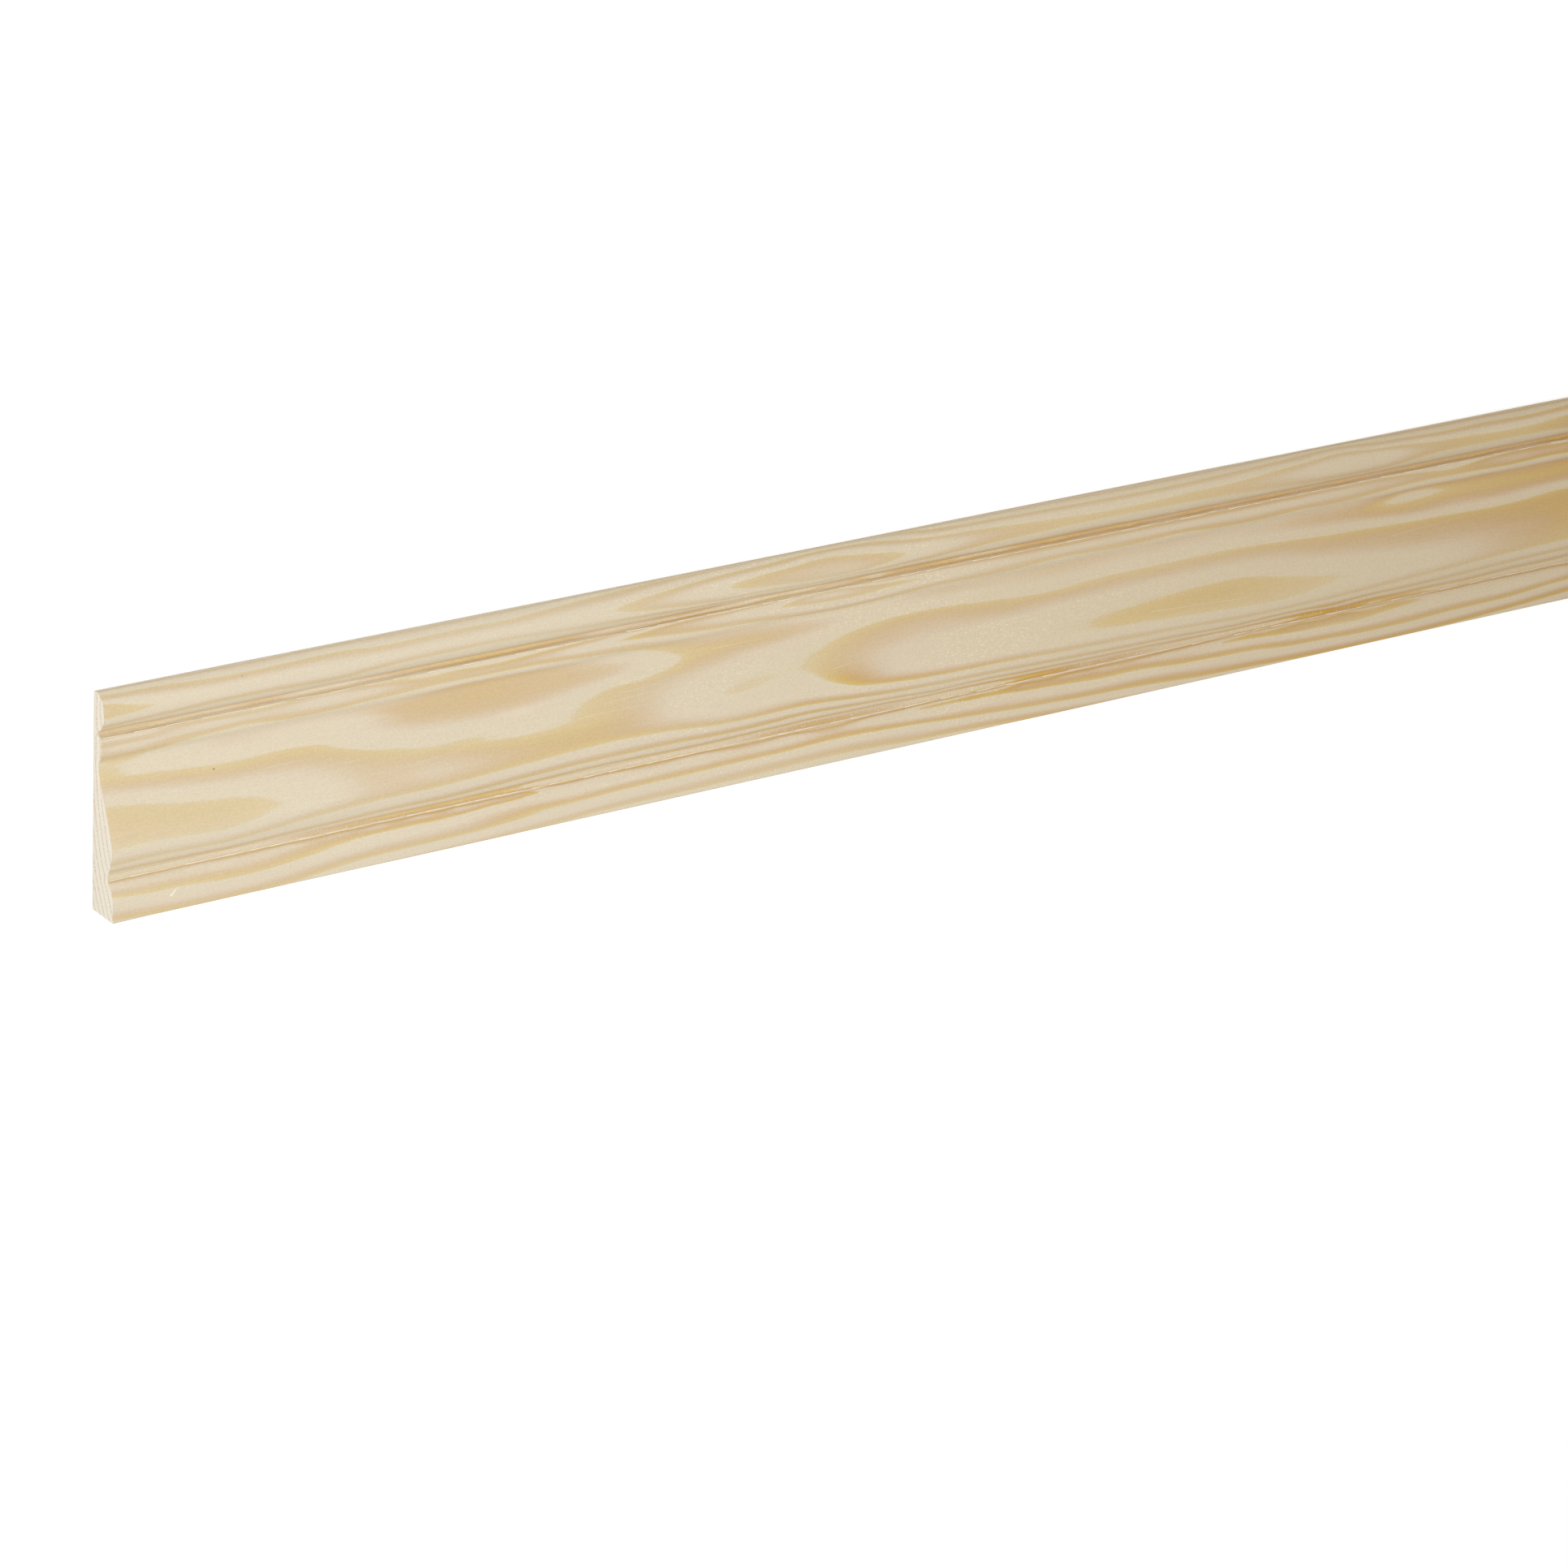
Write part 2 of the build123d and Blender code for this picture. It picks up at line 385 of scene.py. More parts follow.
# Single places inside a ring, as (along, across, ring number).
firstSpots = (
    (10, 28, -1.12), (10, 32.5, -1.07), (30, 27, -1.13), (35, 13.2, 1.42), (45, 26, -1.07),
    (60, 63.5, -0.75), (80, 52.8, -0.62), (100, 64, -0.7), (109, 25.8, -0.5), (115, 43.5, 0.75),
    (120, 41.3, 0.73), (120, 53, -0.2), (120, 53.5, -0.2), (125, 46.8, 0.78), (135, 44.5, 0.79),
    (140, 63.8, -0.75), (145, 41, 0.73), (145, 46.5, 0.77), (145, 52.8, -0.35), (155, 44, 0.76),
    (165, 28, -0.13), (165, 52.8, -0.7), (178, 30, -0.17), (196, 30, -0.55), (203, 27, -0.65),
    (205, 33, -0.65), (211, 27, -0.75), (214, 34, -0.8), (215, 43.5, -0.12), (219, 29.2, -1.02),
    (225, 30.7, -1.05), (228, 43, -0.15), (231, 32.4, -1.02), (237, 37, -0.8), (238, 42.8, -0.25),
    (241, 28, -0.8), (246, 43, -0.33), (280, 44, -0.65), (320, 58, -0.65), (330, 47, -0.55),
    (340, 52.2, -1.6), (350, 44.5, -0.42), (370, 52.2, -1.6), (380, 27, -2.06), (380, 47, -0.55),
    (380, 58, -0.7), (400, 27.5, -2.1), (400, 52, -1.65), (410, 46, -0.5), (430, 26, -2.1),
    (430, 57.4, -0.65), (440, 46.5, -0.55), (460, 52.2, -1.65), (510, 52, -1.15), (549, 51.8, -1.45),
    (550, 27, -1.28), (550, 31.5, -1.22), (560, 29, -1.24), (560, 33, -1.18), (568, 24, -1.12),
    (568, 29, -1.14),
)
secondSpots = (
    (0, 11.8, 0.45), (0, 13.2, 1.42), (3, 53.3, -0.2), (4, 54.8, -0.68), (5, 51.9, -0.62),
    (5, 56.3, 0.85), (5, 57.3, 0.8), (14, 53.2, -0.22), (14, 54.6, -0.68), (16, 52, -0.62),
    (18, 56.2, 0.7), (20, 57.4, 0.68), (25, 53.4, -0.5), (30, 11.8, 0.45), (30, 58.4, 0.3),
    (38, 53, -0.65), (39, 45.1, 0.46), (40, 56.3, 0.45), (40, 57.4, 0.6), (58, 13, 1.5),
    (60, 11.9, 0.48), (60, 47.3, 0.42), (65, 56.3, 0.4), (65, 57.5, 0.5), (69, 45.2, 0.36),
    (70, 12.7, 1.6), (70, 12.8, 1.62), (75, 54, -0.6), (78, 12, 0.45), (78, 13.2, 1.72),
    (82, 12.7, 1.72), (85, 56.3, 0.42), (88, 57.4, 0.5), (90, 13.2, 1.8), (90, 53.8, -0.5),
    (92, 12, 0.45), (92, 44.5, 0.45), (94, 12.7, 1.76), (95, 56.7, 0.7), (96, 56.1, 0.5),
    (97, 44.5, 0.66), (104, 55.8, 0.6), (104, 56.5, 0.8), (105, 10.7, 0.84), (105, 12, 0.45),
    (106, 12.7, 1.78), (110, 13.2, 1.83), (110, 58.3, 0.45), (118, 12, 0.45), (118, 12.7, 1.82),
    (125, 54.9, 0.18), (128, 13.2, 1.9), (130, 11, 0.84), (130, 12.7, 1.88), (130, 56.3, 0.87),
    (130, 57.5, 0.65), (130, 58.4, 0.45), (131, 12, 0.45), (135, 13.6, 1.93), (137, 12.7, 1.9),
    (139, 13, 1.95), (141, 12, 0.45), (142, 11.9, 0.6), (150, 12.7, 2.08), (155, 13.2, 2.1),
    (155, 53, -0.5), (155, 56.4, 0.82), (160, 12.7, 2.15), (160, 57.8, 0.52), (165, 10.3, 1.25),
    (165, 56.8, 0.75), (168, 56, 0.5), (170, 11.7, 1.3), (175, 13.2, 2.25), (183, 56.2, 0.42),
    (183, 57.3, 0.5), (200, 10.5, 1.3), (200, 13.2, 2.35), (205, 11.7, 1.35), (206, 56.2, 0.5),
    (206, 57.4, 0.75), (220, 13.2, 2.5), (225, 12.9, 2.5), (225, 54.6, -1.5), (225, 56, 0.3),
    (225, 57.2, 0.35), (232, 13.6, 2.62), (235, 12.8, 2.68), (240, 10.5, 1.32), (240, 11.6, 1.4),
    (247, 12.8, 2.72), (247, 13.6, 2.8), (250, 14.4, 2.55), (257, 53.3, -2.5), (260, 12.8, 2.72),
    (262, 13.6, 2.75), (265, 59, -0.45), (270, 10.5, 1.28), (270, 14.2, 2.5), (272, 11.7, 1.4),
    (275, 12.8, 2.66), (275, 13.3, 2.6), (282, 11.6, 1.3), (285, 10.6, 1.2), (285, 12.9, 2.5),
    (285, 58.9, -0.42), (290, 13.2, 2.4), (292, 12.7, 2.4), (293, 10.3, 1.12), (297, 11.7, 0.95),
    (300, 10.2, 1.1), (300, 59.1, -0.6), (304, 11.5, 0.9), (305, 12.7, 2.26), (305, 13.2, 2.25),
    (306, 56.6, -0.05), (310, 11.6, 0.85), (315, 11.4, 0.82), (318, 12.7, 2.12), (318, 13, 2.1),
    (325, 12.7, 2.02), (330, 11.8, 0.68), (330, 13.2, 1.97), (333, 14, 1.93), (337, 13.2, 1.92),
    (340, 59.8, -0.7), (343, 12.8, 1.86), (347, 13.4, 1.82), (350, 11.7, 0.52), (351, 11.2, 0.58),
    (352, 12.9, 1.72), (357, 13.5, 1.6), (357, 14.3, 1.5), (364, 12.7, 1.68), (365, 11.6, 0.5),
    (368, 12.8, 1.62), (375, 12.8, 1.6), (380, 11.4, 0.47), (380, 59.3, -0.7), (385, 13, 1.5),
    (390, 11.6, 0.43), (400, 10.5, 0.42), (400, 11.7, 0.42), (400, 12.9, 1.33), (400, 13.2, 1.35),
    (412, 12.9, 1.25), (415, 11.9, 0.2), (420, 13.2, 1.18), (425, 11.9, -0.05), (427, 13, 1.15),
    (430, 11.5, -0.08), (438, 12.9, 1.1), (445, 11.9, -0.12), (450, 13.6, 0.9), (455, 11.5, -0.13),
    (455, 14, 0.9), (460, 10.3, -0.16), (460, 13.4, 0.87), (465, 11.9, -0.14), (470, 12.8, 0.85),
    (470, 13.9, 0.75), (480, 12.7, 1.07), (480, 13.5, 0.95), (482, 11.4, -0.1), (485, 11.9, -0.08),
    (485, 14, 0.85), (495, 14.2, 0.85), (497, 11.8, 0.05), (505, 11.2, 0.12), (510, 11, 0.06),
    (510, 13, 1.15), (513, 45.8, -0.04), (513, 54.8, -0.7), (515, 14.3, 0.72), (518, 43, -0.2),
    (518, 47.8, -0.25), (520, 58.8, -0.65), (522, 45.7, -0.08), (530, 11, 0.15), (530, 11.8, 0.35),
    (530, 13, 1.12), (530, 42, -0.25), (532, 47.6, -0.25), (535, 45.2, -0.11), (540, 13.1, 1.18),
    (545, 42.1, -0.25), (545, 47, -0.25), (550, 13, 1.2), (550, 44.8, -0.12), (558, 11, 0.3),
    (560, 11.8, 0.5), (560, 42.2, -0.25), (560, 46.9, -0.25), (560, 59, -0.7), (563, 12.9, 1.5),
    (563, 44.7, -0.12),
)
# Where a line runs straight along the board, as (from, to, step, across, ring number).
straightRuns = (
    (318, 480, 13, 55.35, -1),
    (338, 476, 13, 54.4, -1.35),
    (345, 465, 14, 53.5, -1.63),
    (255, 300, 14, 56.5, -0.16),
    (255, 300, 14, 57.5, -0.24),
    (300, 376, 12, 57.5, -0.26),
    (300, 376, 12, 58.2, -0.36),
    (340, 371, 15, 56.5, -0.15),
    (384, 565, 12, 56.5, -0.28),
    (384, 565, 12, 57.6, -0.48),
)
# How strong the late wood looks, tuned to colours measured in the photo, as (along, across, strength). The
# strengths of 2 and more on the lower quirk's floor also stand in for the groove's shade there: painted
# shade.
lateSpots = (
    (4, 63, 0.9), (5, 48, 0.9), (20, 55, 0.9), (30, 1, 0.95), (30, 8, 1), (30, 12, 0.65), (30, 15, 1.15),
    (30, 18.5, 0.6), (30, 28, 0.8), (30, 57.6, 0.8), (40, 38, 0.9), (50, 56.8, 0.8), (50, 60, 0.9),
    (60, 51, 0.9), (100, 5, 1), (100, 10.5, 1.4), (100, 16, 0.95), (100, 21.5, 0.9), (100, 31, 0.85),
    (110, 13.3, 1.45), (110, 66, 0.7), (120, 44, 1.2), (120, 53.5, 1), (120, 61.5, 0.7),
    (130, 56.2, 1.3), (130, 57.6, 0.6), (160, 7, 1.2), (170, 18, 1.1), (170, 59.4, 0.65), (180, 27, 1.2),
    (190, 50, 0.8), (190, 63, 0.75), (200, 57.4, 1.3), (205, 56.4, 1.4), (215, 21.5, 1.05),
    (215, 59.5, 0.65), (224, 31, 0.5), (225, 43.5, 1.05), (240, 63.5, 0.9), (250, 3, 0.8),
    (250, 8, 1.45), (250, 13.2, 1.4), (250, 17.5, 1.45), (255, 48, 0.9), (260, 53, 0.75), (260, 59, 0.5),
    (262, 27, 1.65), (262, 36, 0.9), (280, 57.5, 1.1), (290, 7, 1.45), (300, 18, 0.85), (300, 22, 1.25),
    (300, 39, 1.05), (330, 63, 0.85), (340, 9, 1.3), (340, 13.3, 2), (350, 4, 1.4), (350, 15, 1.4),
    (350, 20.5, 0.85), (350, 50, 0.75), (350, 56.2, 1.35), (350, 58, 1.1), (380, 38, 0.85),
    (390, 8.5, 1.5), (400, 1.5, 1.5), (400, 18, 0.8), (400, 62, 0.9), (410, 28, 1.05), (430, 56, 1.3),
    (430, 57.8, 0.85), (450, 5, 1.55), (450, 19, 0.7), (450, 36, 1), (460, 10, 1), (460, 13.3, 2.1),
    (460, 50, 1), (470, 58.5, 0.9), (480, 44, 1.2), (500, 4.5, 1.4), (500, 16.5, 0.9), (500, 33, 1.2),
    (510, 41.5, 1.2), (510, 53, 1.1), (510, 62, 1), (530, 45, 1.3), (540, 55.8, 1.45), (540, 57.8, 1),
    (550, 7, 1.45), (550, 16, 0.9), (550, 30, 1.35), (555, 44.5, 1.45), (560, 62, 1.2),
)


def plainRing(across, up):
    fromPith = np.hypot(across - rings["pithAcross"], rings["pithUp"] - up)
    return (fromPith - rings["firstRadius"]) / rings["width"]


class HandSheet:
    # a smooth sheet over the face through values read at some places on it
    def __init__(self, places, values, stiffness):
        self.places = places / (rings["alongScale"], 1.0)
        count = len(values)
        table = np.zeros((count + 3, count + 3))
        table[:count, :count] = self.pull(self.places) + stiffness * np.eye(count)
        table[:count, count] = 1
        table[:count, count + 1:] = self.places
        table[count:, :count] = table[:count, count:].T
        self.weights = np.linalg.solve(table, np.append(values, (0, 0, 0)))

    def pull(self, points):
        apart = ((points[:, None] - self.places[None]) ** 2).sum(-1)
        return 0.5 * apart * np.log(apart + 1e-9)

    def at(self, along, across):
        points = np.stack((along / rings["alongScale"], across), -1)
        found = np.empty(len(points))
        block = 20000
        for start in range(0, len(points), block):
            some = points[start:start + block]
            flat = self.weights[-3] + some @ self.weights[-2:]
            found[start:start + block] = self.pull(some) @ self.weights[:-3] + flat
        return found


def setRight(along, across):
    # moves a place of the first reading to where the camera's last fit puts it
    rise = readingShift["rise"] + readingShift["risePerMetre"] * along * mm
    return along * readingShift["alongScale"], across + rise


def ringPlaces():
    places = [(*setRight(*place), ring) for ring, line in firstLines.items() for place in line]
    places += [(*setRight(along, across), ring) for along, across, ring in firstSpots]
    places += [(*place, ring) for ring, line in secondLines.items() for place in line]
    places += list(secondSpots)
    for first, last, step, across, ring in straightRuns:
        places += [(along, across, ring) for along in range(first, last, step)]
    return np.array(places, float)


def ringSheet():
    read = ringPlaces()
    plain = plainRing(read[:, 1], faceHeight(np.clip(read[:, 1], 0, faceLine[-1, 0])))
    return HandSheet(read[:, :2], read[:, 2] - plain, rings["stiffness"])


def lateSheet():
    read = np.array(lateSpots, float)
    return HandSheet(read[:, :2], read[:, 2], rings["lateStiffness"])


def smoothStep(share):
    share = np.clip(share, 0, 1)
    return share * share * (3 - 2 * share)


def slowSwell(along, across, up):
    # the tree's own slow bends, where the face gives nothing to read
    wave = 0.55 * np.sin(along / 66 + across * 0.05) + 0.34 * np.sin(along / 29 + across * 0.11 - up * 0.2)
    wave += 0.16 * np.sin(along / 11.5 - across * 0.21) + 0.5 * np.sin(along / 190)
    return wave * smoothStep(along / 90)


def onFace(sheet, along, across, elsewhere):
    # the sheet's values over the stretch that was read, and then a fade into the others
    near = along < rings["figureEnd"] + rings["figureFade"]
    values = np.array(elsewhere, float)
    fade = smoothStep((along[near] - rings["figureEnd"]) / rings["figureFade"])
    read = sheet.at(np.minimum(along[near], rings["figureEnd"]), across[near])
    values[near] = read * (1 - fade) + values[near] * fade
    return values


def swellAt(along, across, up):
    slow = slowSwell(along, across, up)
    face = onFace(ringSheet(), along, across, slow)
    depth = np.maximum(faceHeight(across) - up, 0)
    keep = np.exp(-depth / rings["depthOfSwell"])
    return face * keep + 0.5 * slow * (1 - keep)


def latenessAt(along, across):
    wave = 1.15 + 0.25 * np.sin(along / 83 + across / 9)
    return np.clip(onFace(lateSheet(), along, across, wave), 0.4, 2.2)


def editMode(piece):
    bpy.ops.object.select_all(action="DESELECT")
    piece.select_set(True)
    bpy.context.view_layer.objects.active = piece
    bpy.ops.object.mode_set(mode="EDIT")


def pickEdges(piece, wanted):
    # in edit mode, selects the edges that the test wants and nothing else
    bpy.ops.mesh.select_mode(type="EDGE")
    bpy.ops.mesh.select_all(action="DESELECT")
    work = bmesh.from_edit_mesh(piece.data)
    for edge in work.edges:
        edge.select_set(wanted(edge))
    bmesh.update_edit_mesh(piece.data)


def isLengthwise(edge):
    run = edge.verts[1].co - edge.verts[0].co
    return abs(run.x) > 0.99 * run.length


def makeBlank():
    # the end section as a grid, drawn out to the full length
    columns, rows = len(faceLine) - 1, mesh["rows"]
    bpy.ops.object.select_all(action="DESELECT")
    bpy.ops.mesh.primitive_grid_add(x_subdivisions=columns, y_subdivisions=rows, size=2)
    blank = bpy.context.object
    blank.name = blank.data.name = "pine_moulding"
    for vertex in blank.data.vertices:
        column = round((vertex.co.x + 1) / 2 * columns)
        row = (vertex.co.y + 1) / 2
        share = 1 - (1 - row) ** mesh["rowCrowding"]
        across, up = faceLine[column]
        vertex.co = (low.x, low.y + across * mm, low.z + up * share * mm)
    editMode(blank)
    bpy.ops.mesh.select_all(action="SELECT")
    bpy.ops.mesh.extrude_region_move(TRANSFORM_OT_translate={"value": (mouldingLength * mm, 0, 0)})
    bpy.ops.mesh.select_all(action="SELECT")
    bpy.ops.mesh.normals_make_consistent(inside=False)
    return blank


def nearLine(edge, across, up):
    middle = (edge.verts[0].co + edge.verts[1].co) / 2
    return math.hypot(middle.y - low.y - across * mm, middle.z - low.z - up * mm) < 0.02 * mm


def bevelArrises(blank):
    width = faceLine[-1, 0]
    rounds = (
        ((0, 0), section["arrisRadius"]),
        ((0, section["thickness"]), section["arrisRadius"]),
        ((width, 0), section["arrisRadius"]),
        (corners["listelEnd"], section["listelArris"]),
    )
    for (across, up), radius in rounds:
        pickEdges(blank, lambda edge: isLengthwise(edge) and nearLine(edge, across, up))
        bpy.ops.mesh.bevel(offset=radius * mm, segments=3, affect="EDGES", clamp_overlap=True)
    pickEdges(blank, lambda edge: len(edge.link_faces) == 2 and isEndArris(edge))
    bpy.ops.mesh.bevel(offset=mesh["endArris"] * mm, segments=2, affect="EDGES", clamp_overlap=True)


def isEndArris(edge):
    first, second = (abs(face.normal.x) > 0.9 for face in edge.link_faces)
    return first != second


def cutStations(blank):
    for cuts in (mesh["cutsFirst"], mesh["cutsSecond"]):
        pickEdges(blank, lambda edge: isLengthwise(edge) and edge.calc_length() > 0.01)
        bpy.ops.mesh.subdivide(number_cuts=cuts)
    bpy.ops.object.mode_set(mode="OBJECT")


def readPlaces(piece):
    places = np.empty(len(piece.data.vertices) * 3)
    piece.data.vertices.foreach_get("co", places)
    places = places.reshape(-1, 3)
    return (places - np.array(low)) / mm


def writePlaces(piece, places):
    piece.data.vertices.foreach_set("co", (places * mm + np.array(low)).ravel())
    piece.data.update()


def crowdStations(blank):
    places = readPlaces(blank)
    share = places[:, 0] / mouldingLength
    inside = (share > 0.001) & (share < 0.999)
    crowded = mesh["crowding"] * share + (1 - mesh["crowding"]) * share ** 2
    places[inside, 0] = crowded[inside] * mouldingLength
    writePlaces(blank, places)


def growRings(blank):
    places = readPlaces(blank)
    swell = swellAt(places[:, 0], places[:, 1], places[:, 2])
    lateness = latenessAt(places[:, 0], places[:, 1])
    for name, values in (("swell", swell), ("lateness", lateness)):
        made = blank.data.attributes.new(name, "FLOAT", "POINT")
        made.data.foreach_set("value", values.astype(np.float32))
    ring = plainRing(places[:, 1], places[:, 2]) + swell
    share = ring - np.floor(ring)
    lateWood = smoothStep((share - mesh["lateFrom"]) / mesh["lateRise"])
    lateWood *= smoothStep((1 - share) / mesh["lateStop"])
    normals = np.empty(len(places) * 3)
    blank.data.vertices.foreach_get("normal", normals)
    sink = mesh["reliefDepth"] * (1 - lateWood)
    writePlaces(blank, places - normals.reshape(-1, 3) * sink[:, None])


moulding = makeBlank()
bevelArrises(moulding)
cutStations(moulding)
crowdStations(moulding)
growRings(moulding)
bpy.ops.object.shade_smooth_by_angle(angle=math.radians(mesh["smoothAngle"]))
print("moulding made:", len(moulding.data.vertices), "vertices")


class Wire:
    # a node's output; sums and products on it add their Math nodes
    def __init__(self, tree, socket=None):
        self.tree = tree
        self.socket = socket

    def node(self, kind, settings, inputs, output=0):
        made = self.tree.nodes.new(kind)
        for name, value in settings.items():
            if name == "stops":
                self.setStops(made.color_ramp, value)
            else:
                setattr(made, name, value)
        for name, value in inputs.items():
            if isinstance(value, Wire):
                self.tree.links.new(value.socket, made.inputs[name])
            else:
                made.inputs[name].default_value = value
        return Wire(self.tree, made.outputs[output] if made.outputs else None)

    def setStops(self, ramp, stops):
        while len(ramp.elements) < len(stops):
            ramp.elements.new(0.5)
        for element, (position, colour) in zip(ramp.elements, stops):
            element.position = position
            element.color = colour

    def maths(self, operation, *others):
        inputs = dict(enumerate((self, *others)))
        return self.node("ShaderNodeMath", {"operation": operation}, inputs)

    def swapped(self, operation, other):
        return self.node("ShaderNodeMath", {"operation": operation}, {0: other, 1: self})

    def __add__(self, other):
        return self.maths("ADD", other)

    def __sub__(self, other):
        return self.maths("SUBTRACT", other)

    def __mul__(self, other):
        return self.maths("MULTIPLY", other)

    def __truediv__(self, other):
        return self.maths("DIVIDE", other)

    def __pow__(self, other):
        return self.maths("POWER", other)

    def __radd__(self, other):
        return self.swapped("ADD", other)

    def __rsub__(self, other):
        return self.swapped("SUBTRACT", other)

    def __rmul__(self, other):
        return self.swapped("MULTIPLY", other)

    def mixed(self, other, amount, blend="MIX"):
        settings = {"data_type": "RGBA", "blend_type": blend, "clamp_factor": False}
        return self.node("ShaderNodeMix", settings, {0: amount, 6: self, 7: other}, 2)

    def colour(self, value):
        made = self.node("ShaderNodeRGB", {}, {})
        made.socket.default_value = value
        return made

    def between(self, start, full, fade, end):
        # 0 outside start and end, 1 from full to fade
        return self.rising(start, full) * (1 - self.rising(fade, end))

    def rising(self, start, end):
        # 0 below start, 1 above end, smooth between
        inputs = {"Value": self, 1: start, 2: end}
        return self.node("ShaderNodeMapRange", {"interpolation_type": "SMOOTHSTEP"}, inputs)


def paint(red, green, blue):
    # a colour from its 0 to 255 screen values
    shares = [value / 255 for value in (red, green, blue)]
    return (*(s / 12.92 if s <= 0.04045 else ((s + 0.055) / 1.055) ** 2.4 for s in shares), 1.0)


def newMaterial(name):
    made = bpy.data.materials.new(name)
    made.use_nodes = True
    made.node_tree.nodes.clear()
    return made


def finishMaterial(start, colour, roughness, normal, specular):
    inputs = {"Base Color": colour, "Roughness": roughness, "Specular IOR Level": specular}
    if normal:
        inputs["Normal"] = normal
    shader = start.node("ShaderNodeBsdfPrincipled", {}, inputs)
    start.node("ShaderNodeOutputMaterial", {}, {"Surface": shader})


class WoodPlace:
    # where a point is in the wood, in millimetres, and what ring it lies in
    def __init__(self, start):
        self.start = start
        self.place = start.node("ShaderNodeTexCoord", {}, {}, "Object")
        parts = [start.node("ShaderNodeSeparateXYZ", {}, {0: self.place}, axis) for axis in range(3)]
        self.along = (parts[0] - low.x) * 1000
        self.across = (parts[1] - low.y) * 1000
        self.up = parts[2] * 1000
        self.swell = start.node("ShaderNodeAttribute", {"attribute_name": "swell"}, {}, "Fac")

    def noise(self, length, width, detail=2.0, roughness=0.5, seed=0.0):
        # noise whose grains are so many millimetres long and wide; about 0 to 1, 0.5 in the middle
        scale = (1000 / length, 1000 / width, 1000 / width)
        settings = {"vector_type": "POINT"}
        moved = {"Vector": self.place, "Scale": scale, "Location": (seed, seed * 1.7, 0)}
        stretched = self.start.node("ShaderNodeMapping", settings, moved)
        inputs = {"Vector": stretched, "Scale": 1.0, "Detail": detail, "Roughness": roughness}
        return self.start.node("ShaderNodeTexNoise", {}, inputs, "Fac")

    def ring(self):
        fromPith = ((self.across - rings["pithAcross"]) ** 2 + (rings["pithUp"] - self.up) ** 2) ** 0.5
        return (fromPith - rings["firstRadius"]) / rings["width"] + self.swell


planed = {
    "wander": 0.05,  # rings; how far the fibres stray across a ring's edge
    "slowWander": 0.05,
    "roughness": 0.52,
    "specular": 0.35,
    "fibreBump": 0.25,
    "bumpDepth": 0.00006,  # metres
    "farShadeStretch": (60, 560),  # where the painted far shade comes in
    "quirkFloor": (12.2, 12.7, 13.6, 14.8),
    "lowerShadeLine": (11.92, 12.06, 12.14, 12.28),
    "upperShadeLine": (56.75, 56.95, 57.0, 57.25),
    "shadeLineWander": 0.3,
    "lowerShadeLineShare": 0.9,
    "upperShadeLineShare": 0.6,
    "fibreContrast": 0.09,
    "speckContrast": 0.2,
    "paintedGlint": 0.14,
    "tornStretch": (150, 200, 330, 430),  # the painted glints on the early wood are strongest between these
    "bloomPlace": (141, 37.3),  # one pale patch, and half its length and width
    "bloomSize": (9, 1.7),
    "bloom": 0.04,
}
earlyPaint = paint(226, 213, 186)
ringColours = (
    (0.00, paint(224, 210, 180)),
    (0.04, paint(226, 213, 186)),
    (0.38, paint(226, 212, 186)),
    (0.50, paint(223, 207, 181)),
    (0.58, paint(221, 201, 170)),
    (0.66, paint(218, 196, 161)),
    (0.74, paint(217, 193, 154)),
    (0.82, paint(218, 193, 148)),
    (0.90, paint(220, 197, 148)),
    (0.96, paint(222, 200, 153)),
    (1.00, paint(223, 205, 166)),
)
farShadeTone = (0.985, 0.93, 0.845, 1.0)  # painted shade: the board darker and yellower along from the near end, where the light falls off
quirkShadeTone = (0.97, 0.95, 0.92, 1.0)  # painted shade: the lower quirk's floor darker and warmer, as in the groove's shade
cornerShadeTone = (0.93, 0.85, 0.72, 1.0)  # painted shade: a thin dark line along a corner of each quirk
